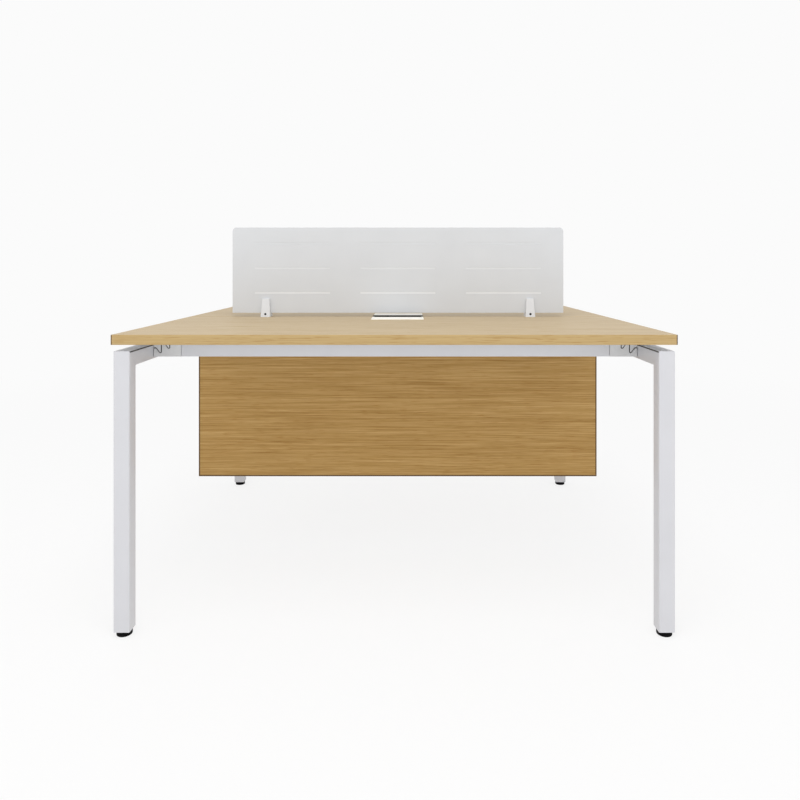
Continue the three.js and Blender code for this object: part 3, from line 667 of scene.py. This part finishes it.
def near_ends(tree, place, box, axes, width, both):
    """1 where a point lies within a width of the box's ends, along any of the axes or along all of them."""
    parts = add_node(tree, "ShaderNodeSeparateXYZ", {0: place})
    found = None
    for axis in axes:
        middle = (box[0][axis] + box[1][axis]) / 2
        reach = (box[1][axis] - box[0][axis]) / 2 - width
        off = maths(tree, "ABSOLUTE", maths(tree, "SUBTRACT", parts.outputs[axis], middle))
        past = maths(tree, "GREATER_THAN", off, reach)
        if found is not None:
            past = maths(tree, "MINIMUM" if both else "MAXIMUM", found, past)
        found = past
    return found


def wood_finish(name, wood, tones, across, joint=None):
    """Wood grain that runs along every axis but those in across: broad tones, fine streaks and short pores.

    A joint is the box, the axes, the width and the flag of near_ends, where the tone turns to the dark joint
    colour: at the edging's cut ends on the worktop edging, and in a band round the panel's face.
    """
    material, tree, shader, place = start_finish(name, wood.gloss)

    def sized(run, width):
        return tuple(width if axis in across else run for axis in range(3))

    wander = add_node(tree, "ShaderNodeTexNoise", {"Vector": place, "Scale": WANDER_SCALE, "Detail": 2.0})
    inputs = {0: wander.outputs["Color"], 1: sized(0.0, wood.drift), 2: place}
    wavy = add_node(tree, "ShaderNodeVectorMath", inputs, operation="MULTIPLY_ADD").outputs[0]
    streaks = noise(tree, wavy, sized(wood.streak_length, wood.streak_width), detail=4.0, roughness=0.6)
    bands = noise(tree, wavy, sized(wood.band_length, wood.band_width), detail=3.0, roughness=0.55)
    pores = noise(tree, wavy, sized(wood.pore_length, wood.pore_width), detail=1.0)
    tone = mixed(tree, streaks, bands, wood.band_share)
    grain = vary(tree, shader, tone, tones, GRAIN_STOPS, (wood.rough, wood.smooth))
    open_pores = spread(tree, pores, *PORE_RANGE, 0.0, 1.0)
    pore_tint = ramp(tree, open_pores, [(0.0, (1.0, 1.0, 1.0)), (1.0, wood.pore_tint)])
    tinted = blended(tree, 1.0, grain, pore_tint, "MULTIPLY")
    if joint is not None:
        tinted = blended(tree, near_ends(tree, place, *joint), tinted, (*wood.joint, 1.0))
    tree.links.new(tinted, shader.inputs["Base Color"])
    hollow = spread(tree, open_pores, 0.0, 1.0, 1.0, PORE_FLOOR)
    bump(tree, shader, mixed(tree, hollow, streaks, second_share=0.4), strength=0.16, distance=0.0004)
    return material


def paint_finish(name, paint, tone, peel):
    """Sprayed or powder-coated paint: orange peel, a slow change of tone and of gloss."""
    material, tree, shader, place = start_finish(name)
    mottle = noise(tree, place, (paint.mottle,) * 3, detail=3.0)
    peeled = noise(tree, place, (paint.grain,) * 3, roughness=0.45)
    tones = shades(tone, darker=0.975, paler=1.02)
    mingled = mixed(tree, mottle, peeled, second_share=0.3)
    coat = vary(tree, shader, mingled, tones, EVEN_STOPS, (paint.smooth, paint.rough))
    tree.links.new(coat, shader.inputs["Base Color"])
    bump(tree, shader, peeled, strength=peel, distance=0.0002)
    return material


def plastic_finish(name, tone, gloss, roughness, grain):
    """Moulded plastic with a fine etched grain and slightly worn high spots."""
    material, tree, shader, place = start_finish(name, gloss)
    etched = noise(tree, place, (grain,) * 3, detail=3.0, roughness=0.6)
    scuffs = noise(tree, place, SCUFF_SIZE, detail=4.0, roughness=0.7)
    tones = shades(tone, darker=0.8, paler=1.7)
    mingled = mixed(tree, scuffs, etched, second_share=0.5)
    smoothest = roughness - 0.07
    roughest = roughness + 0.1
    worn = vary(tree, shader, mingled, tones, WORN_STOPS, (smoothest, roughest))
    tree.links.new(worn, shader.inputs["Base Color"])
    bump(tree, shader, etched, strength=0.25, distance=0.0002)
    return material


def metal_finish(name, tone, roughness):
    """Plated or blackened steel with fine drawn lines and clouded plating."""
    material, tree, shader, place = start_finish(name, metallic=1.0)
    clouds = noise(tree, place, CLOUD_SIZE, detail=4.0, roughness=0.6)
    lines = noise(tree, place, DRAWN_LINE_SIZE, detail=3.0)
    tones = shades(tone, darker=0.78, paler=1.15)
    mingled = mixed(tree, clouds, lines, second_share=0.4)
    smoothest = roughness - 0.08
    roughest = roughness + 0.12
    plated = vary(tree, shader, mingled, tones, EVEN_STOPS, (smoothest, roughest))
    tree.links.new(plated, shader.inputs["Base Color"])
    bump(tree, shader, lines, strength=0.08, distance=0.0001)
    return material


def make_finishes(settings):
    """All of the desk's materials, by the names that the pieces ask for."""
    wood, paint, fitting = settings.wood, settings.paint, settings.fitting
    gloss = fitting.gloss
    corners = (CAD_BOX, (0, 1), wood.corner_joint, True)
    # A near-black band along the panel face's ends, top and bottom
    panel_rim = (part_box("modesty_panel"), (0, 2), wood.panel_edge, False)
    # The worktop tones carry a painted sheen and painted top light
    board = (wood.dark, wood.middle, wood.pale)
    # The panel tones carry a painted shade
    panel = (wood.panel_dark, wood.panel_middle, wood.panel_pale)
    edge = (wood.edge_dark, wood.edge_middle, wood.edge_pale)
    return {
        "laminate": wood_finish("oak_laminate", wood, board, (1, 2)),
        "panel": wood_finish("oak_panel_laminate", wood, panel, (1, 2), panel_rim),
        "worktop_edging": wood_finish("oak_worktop_edging", wood, edge, (2,), corners),
        "panel_edging": wood_finish("oak_panel_edging", wood, edge, (1,)),
        "backing": paint_finish("worktop_backing", paint, wood.backing, peel=0.05),
        "frame": paint_finish("grey_powder_coat", paint, paint.grey, peel=0.1),
        "cast": paint_finish("grey_painted_casting", paint, paint.cast, peel=0.16),
        "clamp": paint_finish("grey_painted_clamp", paint, paint.clamp, peel=0.16),
        "screen": paint_finish("screen_lacquer", paint, paint.screen, peel=0.05),
        # Painted highlights for the screen's grooves, one paint for each row
        "low_inlays": paint_finish("low_screen_inlay", paint, paint.low_groove_highlight, peel=0.04),
        "middle_inlays": paint_finish("middle_screen_inlay", paint, paint.middle_inlay, peel=0.04),
        "high_inlays": paint_finish("high_screen_inlay", paint, paint.high_groove_highlight, peel=0.04),
        "white": paint_finish("white_outlet_paint", paint, paint.white, peel=0.05),
        "black": plastic_finish("black_moulding", fitting.black, gloss, roughness=0.5, grain=0.0008),
        # The dark strip finish is also the painted shade on the hooks' cores
        "strip": plastic_finish("dark_strip", fitting.strip, gloss, roughness=0.6, grain=0.0012),
        "bristle": plastic_finish("nylon_bristle", fitting.bristle, gloss, roughness=0.45, grain=0.002),
        "zinc": metal_finish("zinc_plated_steel", fitting.zinc, roughness=0.33),
        "black_steel": metal_finish("blackened_steel", fitting.black_steel, roughness=0.4),
    }


# Operators


class DESK_OT_finishes(bpy.types.Operator):
    """Makes the desk's materials"""

    bl_idname = "bench_desk.finishes"
    bl_label = "Make finishes"

    def execute(self, context):
        FINISHES.update(make_finishes(context.scene.bench_desk))
        return {"FINISHED"}


class DESK_OT_worktops(bpy.types.Operator):
    """Finishes both worktops and lays their edgings round them"""

    bl_idname = "bench_desk.worktops"
    bl_label = "Worktops and edgings"

    def execute(self, context):
        sizes = context.scene.bench_desk.structure
        for end in ENDS:
            softened(
                f"{end}_worktop",
                ("laminate", "backing"),
                sizes.board_rounding,
                steps=1,
                second=lambda normals, middles: normals[:, 2] < -FACING,
            )
            self.lay_edging(f"{end}_worktop_edging", sizes)
        return {"FINISHED"}

    def lay_edging(self, node, sizes):
        """An edging with round arrises, carried round the worktop's outline."""
        low, high = corners_of(node)
        width, depth, _ = high - low
        loop, outward = rounded_loop(width, depth, sizes.worktop_corner)
        profile = arris_profile(sizes.edging, low[2], high[2], sizes.arris)
        points, quads = carried_round(profile, loop, outward, ((low + high) / 2)[:2])
        add_piece(f"{node}_finish", points, quads, "worktop_edging", replaced=(node,))


class DESK_OT_side_frames(bpy.types.Operator):
    """Draws the legs and rails as mitred tubes, with the dark strip along each rail"""

    bl_idname = "bench_desk.side_frames"
    bl_label = "Side frames"

    def execute(self, context):
        sizes = context.scene.bench_desk.structure
        for corner in CORNERS:
            self.draw_leg(f"{corner}_leg", corner.endswith("front"), sizes)
        for side in SIDES:
            self.draw_rail(f"{side}_top_rail", sizes)
            self.lay_strip(side, context.scene.bench_desk.fitting)
        return {"FINISHED"}

    def draw_leg(self, node, is_front, sizes):
        """An upright tube whose top falls at 45 degrees from the outer face towards the rail."""
        low, high = corners_of(node)
        outer_y = low[1] if is_front else high[1]
        add_tube(
            node,
            2,
            sizes.tube_corner,
            sizes.tube_wall,
            lambda y: np.full_like(y, low[2]),
            lambda y: high[2] - np.abs(y - outer_y),
        )

    def draw_rail(self, node, sizes):
        """A level tube whose two ends fall at 45 degrees from its top face."""
        low, high = corners_of(node)
        add_tube(
            node,
            1,
            sizes.tube_corner,
            sizes.tube_wall,
            lambda z: low[1] + (high[2] - z),
            lambda z: high[1] - (high[2] - z),
        )

    def lay_strip(self, side, sizes):
        """A thin strip with round edges along the upper inner edge of a rail."""
        low, high = corners_of(f"{side}_top_rail")
        face, inward = (high[0], 1.0) if side == "left" else (low[0], -1.0)
        middle_x = face + inward * sizes.strip_thickness / 2
        middle_z = high[2] - sizes.strip_drop - sizes.strip_width / 2
        rounding = STRIP_ROUNDNESS * sizes.strip_thickness
        outline, _ = rounded_loop(sizes.strip_thickness, sizes.strip_width, rounding)
        outline = outline + (middle_x, middle_z)
        ends = (low[1] + sizes.strip_width, high[1] - sizes.strip_width)
        points = np.stack([np.insert(outline, 1, end, axis=1) for end in ends])
        quads = grid_quads(*points.shape[:2])
        caps = np.arange(2 * len(outline)).reshape(2, -1).tolist()
        add_piece(f"{side}_rail_strip", points, quads, "strip", caps=caps)


class DESK_OT_beams(bpy.types.Operator):
    """Draws the beams as tubes and softens the saddles and hooks at their ends"""

    bl_idname = "bench_desk.beams"
    bl_label = "Beams and hook joints"

    def execute(self, context):
        sizes = context.scene.bench_desk.structure
        for end in ENDS:
            node = f"{end}_beam"
            first, last = (lambda z, at=corner[0]: np.full_like(z, at) for corner in corners_of(node))
            add_tube(node, 0, sizes.beam_corner, sizes.beam_wall, first, last)
        for corner in CORNERS:
            softened(f"{corner}_saddle", ("cast",))
            self.soften_hook(f"{corner}_beam_hook", context.scene.bench_desk.fitting)
        return {"FINISHED"}

    def soften_hook(self, node, fitting):
        """The hook: painted teeth at its side faces, on a core coloured near-black as painted shade in the
        joint.
        """
        low, high = corners_of(node)
        middle = (low[1] + high[1]) / 2
        inner = (high[1] - low[1]) / 2 - fitting.tooth_depth
        # The core's faces, within the teeth, take the dark finish as painted shade
        softened(
            node,
            ("cast", "strip"),
            second=lambda normals, middles: np.abs(middles[:, 1] - middle) < inner,
        )


class DESK_OT_feet(bpy.types.Operator):
    """Turns the foot pads and cuts the threads of their stems"""

    bl_idname = "bench_desk.feet"
    bl_label = "Levelling feet"

    def execute(self, context):
        sizes = context.scene.bench_desk.structure
        for corner in CORNERS:
            body = f"{corner}_foot"
            self.turn_pad(f"{corner}_foot_pad", body, sizes)
            self.cut_stem(f"{corner}_foot_stem", body, sizes)
            finish_node(f"{corner}_leg_insert", "black")
        return {"FINISHED"}

    def turn_pad(self, node, body, sizes):
        """A disc with round rims, turned about its own middle."""
        low, high = corners_of(node)
        radius = (high[0] - low[0]) / 2
        profile = arris_profile(radius, low[2], high[2], sizes.pad_rounding) + (radius, 0.0)
        centre = (low + high) / 2 * (1.0, 1.0, 0.0)
        points, quads = turned_surface(profile, PAD_COLUMNS, centre)
        add_piece(f"{node}_finish", points, quads, "black", body, (node,))

    def cut_stem(self, node, body, sizes):
        """A threaded rod in the stem's place."""
        low, high = corners_of(node)
        radius = (high[0] - low[0]) / 2
        points, quads = threaded_surface(radius, sizes.thread_depth, sizes.thread_pitch, low[2], high[2])
        centre = (low + high) / 2 * (1.0, 1.0, 0.0)
        add_piece(f"{node}_finish", points + centre, quads, "zinc", body, (node,))


class DESK_OT_packers(bpy.types.Operator):
    """Softens the packers between the rails and the worktops, and sets the bolts under them"""

    bl_idname = "bench_desk.packers"
    bl_label = "Packers and rail bolts"

    def execute(self, context):
        sizes = context.scene.bench_desk.structure
        centres = []
        for place in (*CORNERS, *(f"{side}_middle" for side in SIDES)):
            node = f"{place}_packer"
            softened(node, ("black",))
            low, high = corners_of(node)
            rail_low, _ = corners_of(f"{place.split('_')[0]}_top_rail")
            centres.append((*((low + high) / 2)[:2], rail_low[2]))
        add_screws("rail_bolts", sizes.bolt_radius, sizes.bolt_height, centres, [0, 1, 2], -1.0)
        return {"FINISHED"}


class DESK_OT_panel(bpy.types.Operator):
    """Finishes the modesty panel with its edge band, its brackets and their screws"""

    bl_idname = "bench_desk.panel"
    bl_label = "Modesty panel"

    def execute(self, context):
        sizes = context.scene.bench_desk.structure
        softened(
            "modesty_panel",
            ("panel", "panel_edging"),
            second=lambda normals, middles: np.abs(normals[:, 1]) < FACING,
        )
        behind, under = [], []
        for node in (f"{side}_{place}_panel_bracket" for side in SIDES for place in ("outer", "inner")):
            softened(node, ("zinc",))
            low, high = corners_of(node)
            width, depth, height = high - low
            for part in SCREW_SHARES:
                x = low[0] + part * width
                behind.append((x, low[1] + sizes.bracket_wall, low[2] + SCREW_RISE * height))
                under.append((x, low[1] + SCREW_REACH * depth, high[2] - sizes.bracket_wall))
        add_screws("panel_screws", sizes.screw_radius, sizes.screw_height, behind, [0, 2, 1], 1.0)
        add_screws("bracket_screws", sizes.screw_radius, sizes.screw_height, under, [0, 1, 2], -1.0)
        return {"FINISHED"}


class DESK_OT_screen(bpy.types.Operator):
    """Finishes the screen with pale strips in its grooves as painted highlights, and the clamps that hold it
    """

    bl_idname = "bench_desk.screen"
    bl_label = "Screen and clamps"

    def execute(self, context):
        fitting = context.scene.bench_desk.fitting
        softened("screen", ("screen",), fitting.fine_rounding)
        self.lay_inlays(fitting)
        for side in SIDES:
            for part in ("clamp_body", "clamp_jaw"):
                softened(f"{side}_{part}", ("clamp",), fitting.casting_rounding)
            finish_node(f"{side}_clamp_bolt", "black_steel")
            finish_node(f"{side}_clamp_anchor", "zinc")
        return {"FINISHED"}

    def lay_inlays(self, sizes):
        """A strip in each groove: the floor that the screen's mesh has there, raised nearly to its face. Its
        pale paint is a painted highlight, as if light caught the groove's ledges.
        """
        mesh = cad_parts["screen"].data
        low, high = corners_of("screen")
        points = np.empty(3 * len(mesh.vertices), np.float32)
        mesh.vertices.foreach_get("co", points)
        points = points.reshape(-1, 3).astype(float)
        middle_y = (low[1] + high[1]) / 2
        face = (high[1] - low[1]) / 2 - sizes.groove_highlight_depth
        floor = points[np.abs(points[:, 1] - middle_y) < face]
        columns = np.unique(np.round(floor[:, 0], GROOVE_DECIMALS))
        levels = np.unique(np.round(floor[:, 2], GROOVE_DECIMALS))
        depth = np.abs(floor[:, 1] - middle_y).max()
        for row, (bottom, top) in zip(("low", "middle", "high"), levels.reshape(-1, 2), strict=True):
            shapes = []
            for left, right in columns.reshape(-1, 2):
                width = right - left - 2 * sizes.groove_highlight_gap
                height = top - bottom - 2 * sizes.groove_highlight_gap
                loop, _ = rounded_loop(width, height, sizes.edge_rounding)
                loop = loop + ((left + right) / 2, (bottom + top) / 2)
                for outward in (-1.0, 1.0):
                    shapes.append(self.strip(loop, middle_y + outward * depth, middle_y + outward * face))
            points = np.stack(shapes)
            rows, count = points.shape[1:3]
            quads = repeated(grid_quads(rows, count), rows * count, len(points))
            # Each row of strips takes its own painted highlight
            add_piece(f"{row}_screen_inlays", points, quads, f"{row}_inlays")

    def strip(self, loop, back, front):
        """A closed flat strip: its middle and its outline at the back, then both at the front."""
        middle = np.broadcast_to(loop.mean(0), loop.shape)
        rings = ((middle, back), (loop, back), (loop, front), (middle, front))
        return np.stack([np.insert(ring, 1, level, axis=1) for ring, level in rings])


class DESK_OT_outlets(bpy.types.Operator):
    """Finishes the cable outlets: frames, lids, hinge pins and brushes"""

    bl_idname = "bench_desk.outlets"
    bl_label = "Cable outlets"

    def execute(self, context):
        rounding = context.scene.bench_desk.fitting.fine_rounding
        for end in ENDS:
            softened(f"{end}_outlet_frame", ("white",), rounding)
            softened(f"{end}_outlet_lid", ("white",), rounding, body=f"{end}_lid")
            finish_node(f"{end}_outlet_hinge_pin", "zinc")
            finish_node(f"{end}_outlet_brush_bar", "black")
            self.set_bristles(end, context.scene.bench_desk.structure)
        return {"FINISHED"}

    def set_bristles(self, end, sizes):
        """Rows of bristles from the bar's face, over the slot towards the lid."""
        low, high = corners_of(f"{end}_outlet_brush_bar")
        face, towards_lid = (low[1], -1.0) if end == "front" else (high[1], 1.0)
        lid_low, lid_high = corners_of(f"{end}_outlet_lid")
        margin = sizes.bristle_margin
        x = np.linspace(lid_low[0] + margin, lid_high[0] - margin, sizes.bristle_columns)
        z = lid_high[2] - margin - np.arange(sizes.bristle_rows) * BRISTLE_PITCH * sizes.bristle_radius
        grid_x, grid_z = np.meshgrid(x, z, indexing="ij")
        roots = np.stack([grid_x.ravel(), np.full(grid_x.size, face), grid_z.ravel()], -1)
        reach = np.array([0.0, towards_lid * sizes.bristle_length, 0.0])
        points, sides, caps = bristle_surfaces(roots, reach, sizes.bristle_radius, seed=len(end))
        add_piece(f"{end}_outlet_bristles", points, sides, "bristle", caps=caps.tolist())


class DESK_OT_stage(bpy.types.Operator):
    """Lays the floor, hangs the lights and sets the camera"""

    bl_idname = "bench_desk.stage"
    bl_label = "Studio"

    def execute(self, context):
        stage = context.scene.bench_desk.stage
        context.scene.view_settings.view_transform = "Standard"
        self.lay_floor(context.scene, stage)
        self.light_world(context.scene, stage)
        for name, (place, target, size) in LIGHTS.items():
            self.hang_light(context.scene, f"{name}_light", place, target, size, getattr(stage, name))
        self.set_camera(context.scene, stage)
        return {"FINISHED"}

    def seen_directly(self, tree):
        """1 where a ray comes from the camera, a gloss or a glass, and 0 where it only brings light."""
        path = add_node(tree, "ShaderNodeLightPath")
        seen = path.outputs["Is Camera Ray"]
        for other in ("Is Glossy Ray", "Is Transmission Ray"):
            seen = maths(tree, "MAXIMUM", seen, path.outputs[other])
        return seen

    def lay_floor(self, scene, stage):
        """A level floor, mostly even to the eye, that keeps a part of the desk's shadow."""
        half = stage.floor_size / 2
        corners = [(-half, -half, 0.0), (half, -half, 0.0), (half, half, 0.0), (-half, half, 0.0)]
        mesh = bpy.data.meshes.new("floor")
        mesh.from_pydata(corners, [], [(0, 1, 2, 3)])
        material = bpy.data.materials.new("studio_floor")
        material.use_nodes = True
        tree = material.node_tree
        tree.nodes.clear()
        tone = (*stage.floor, 1.0)
        matt = add_node(tree, "ShaderNodeBsdfDiffuse", {"Color": tone})
        even = add_node(tree, "ShaderNodeEmission", {"Color": tone})
        place = add_node(tree, "ShaderNodeTexCoord").outputs["Object"]
        away = add_node(tree, "ShaderNodeVectorMath", {0: place}, operation="LENGTH").outputs["Value"]
        evenness = spread(tree, away, stage.floor_near, stage.floor_far, stage.floor_share, 1.0)
        part = maths(tree, "MULTIPLY", self.seen_directly(tree), evenness)
        inputs = {0: part, 1: matt.outputs[0], 2: even.outputs[0]}
        both = add_node(tree, "ShaderNodeMixShader", inputs)
        add_node(tree, "ShaderNodeOutputMaterial", {"Surface": both.outputs[0]})
        mesh.materials.append(material)
        floor = bpy.data.objects.new("floor", mesh)
        scene.collection.objects.link(floor)

    def light_world(self, scene, stage):
        """An even pale backdrop to the eye, and an even light of its own strength on the desk."""
        world = bpy.data.worlds.new("studio")
        scene.world = world
        world.use_nodes = True
        tree = world.node_tree
        tree.nodes.clear()
        white = (1.0, 1.0, 1.0, 1.0)
        light = add_node(tree, "ShaderNodeBackground", {"Color": white, "Strength": stage.world})
        backdrop = add_node(tree, "ShaderNodeBackground", {"Color": (*stage.floor, 1.0)})
        inputs = {0: self.seen_directly(tree), 1: light.outputs[0], 2: backdrop.outputs[0]}
        both = add_node(tree, "ShaderNodeMixShader", inputs)
        add_node(tree, "ShaderNodeOutputWorld", {"Surface": both.outputs[0]})

    def hang_light(self, scene, name, place, target, size, power):
        """A large square light that faces a point of the desk."""
        lamp = bpy.data.lights.new(name, "AREA")
        lamp.shape = "SQUARE"
        lamp.size = size
        lamp.energy = power
        light = bpy.data.objects.new(name, lamp)
        scene.collection.objects.link(light)
        towards = Vector(target) - Vector(place)
        light.location = place
        light.rotation_euler = towards.to_track_quat("-Z", "Y").to_euler()

    def set_camera(self, scene, stage):
        """A level camera that looks along +Y, with its lens shifted so that uprights stay upright."""
        lens = bpy.data.cameras.new("camera")
        lens.sensor_width = SENSOR_WIDTH
        lens.lens = stage.lens
        lens.shift_x = stage.shift_x
        lens.shift_y = stage.shift_y
        camera = bpy.data.objects.new("camera", lens)
        scene.collection.objects.link(camera)
        camera.location = stage.camera
        camera.rotation_euler = (math.pi / 2, 0.0, 0.0)
        scene.camera = camera


OPERATORS = (
    DESK_OT_finishes,
    DESK_OT_worktops,
    DESK_OT_side_frames,
    DESK_OT_beams,
    DESK_OT_feet,
    DESK_OT_packers,
    DESK_OT_panel,
    DESK_OT_screen,
    DESK_OT_outlets,
    DESK_OT_stage,
)


class DESK_PT_sidebar(bpy.types.Panel):
    """Lists the steps that dress the desk"""

    bl_idname = "DESK_PT_sidebar"
    bl_label = "Bench desk"
    bl_space_type = "VIEW_3D"
    bl_region_type = "UI"
    bl_category = "Bench desk"

    def draw(self, context):
        for operator in OPERATORS:
            self.layout.operator(operator.bl_idname)


SETTINGS = (
    DeskWoodSettings,
    DeskPaintSettings,
    DeskFittingSettings,
    DeskFrameSettings,
    DeskStageSettings,
    DeskSettings,
)


def register():
    """Registers the settings, the operators and the sidebar."""
    for made in (*SETTINGS, *OPERATORS, DESK_PT_sidebar):
        bpy.utils.register_class(made)
    bpy.types.Scene.bench_desk = PointerProperty(type=DeskSettings)


def unregister():
    """Takes back what register did."""
    del bpy.types.Scene.bench_desk
    for made in reversed((*SETTINGS, *OPERATORS, DESK_PT_sidebar)):
        bpy.utils.unregister_class(made)


def main():
    """Dresses the desk step by step."""
    register()
    for operator in OPERATORS:
        group, name = operator.bl_idname.split(".")
        getattr(getattr(bpy.ops, group), name)()


if __name__ == "__main__":
    main()
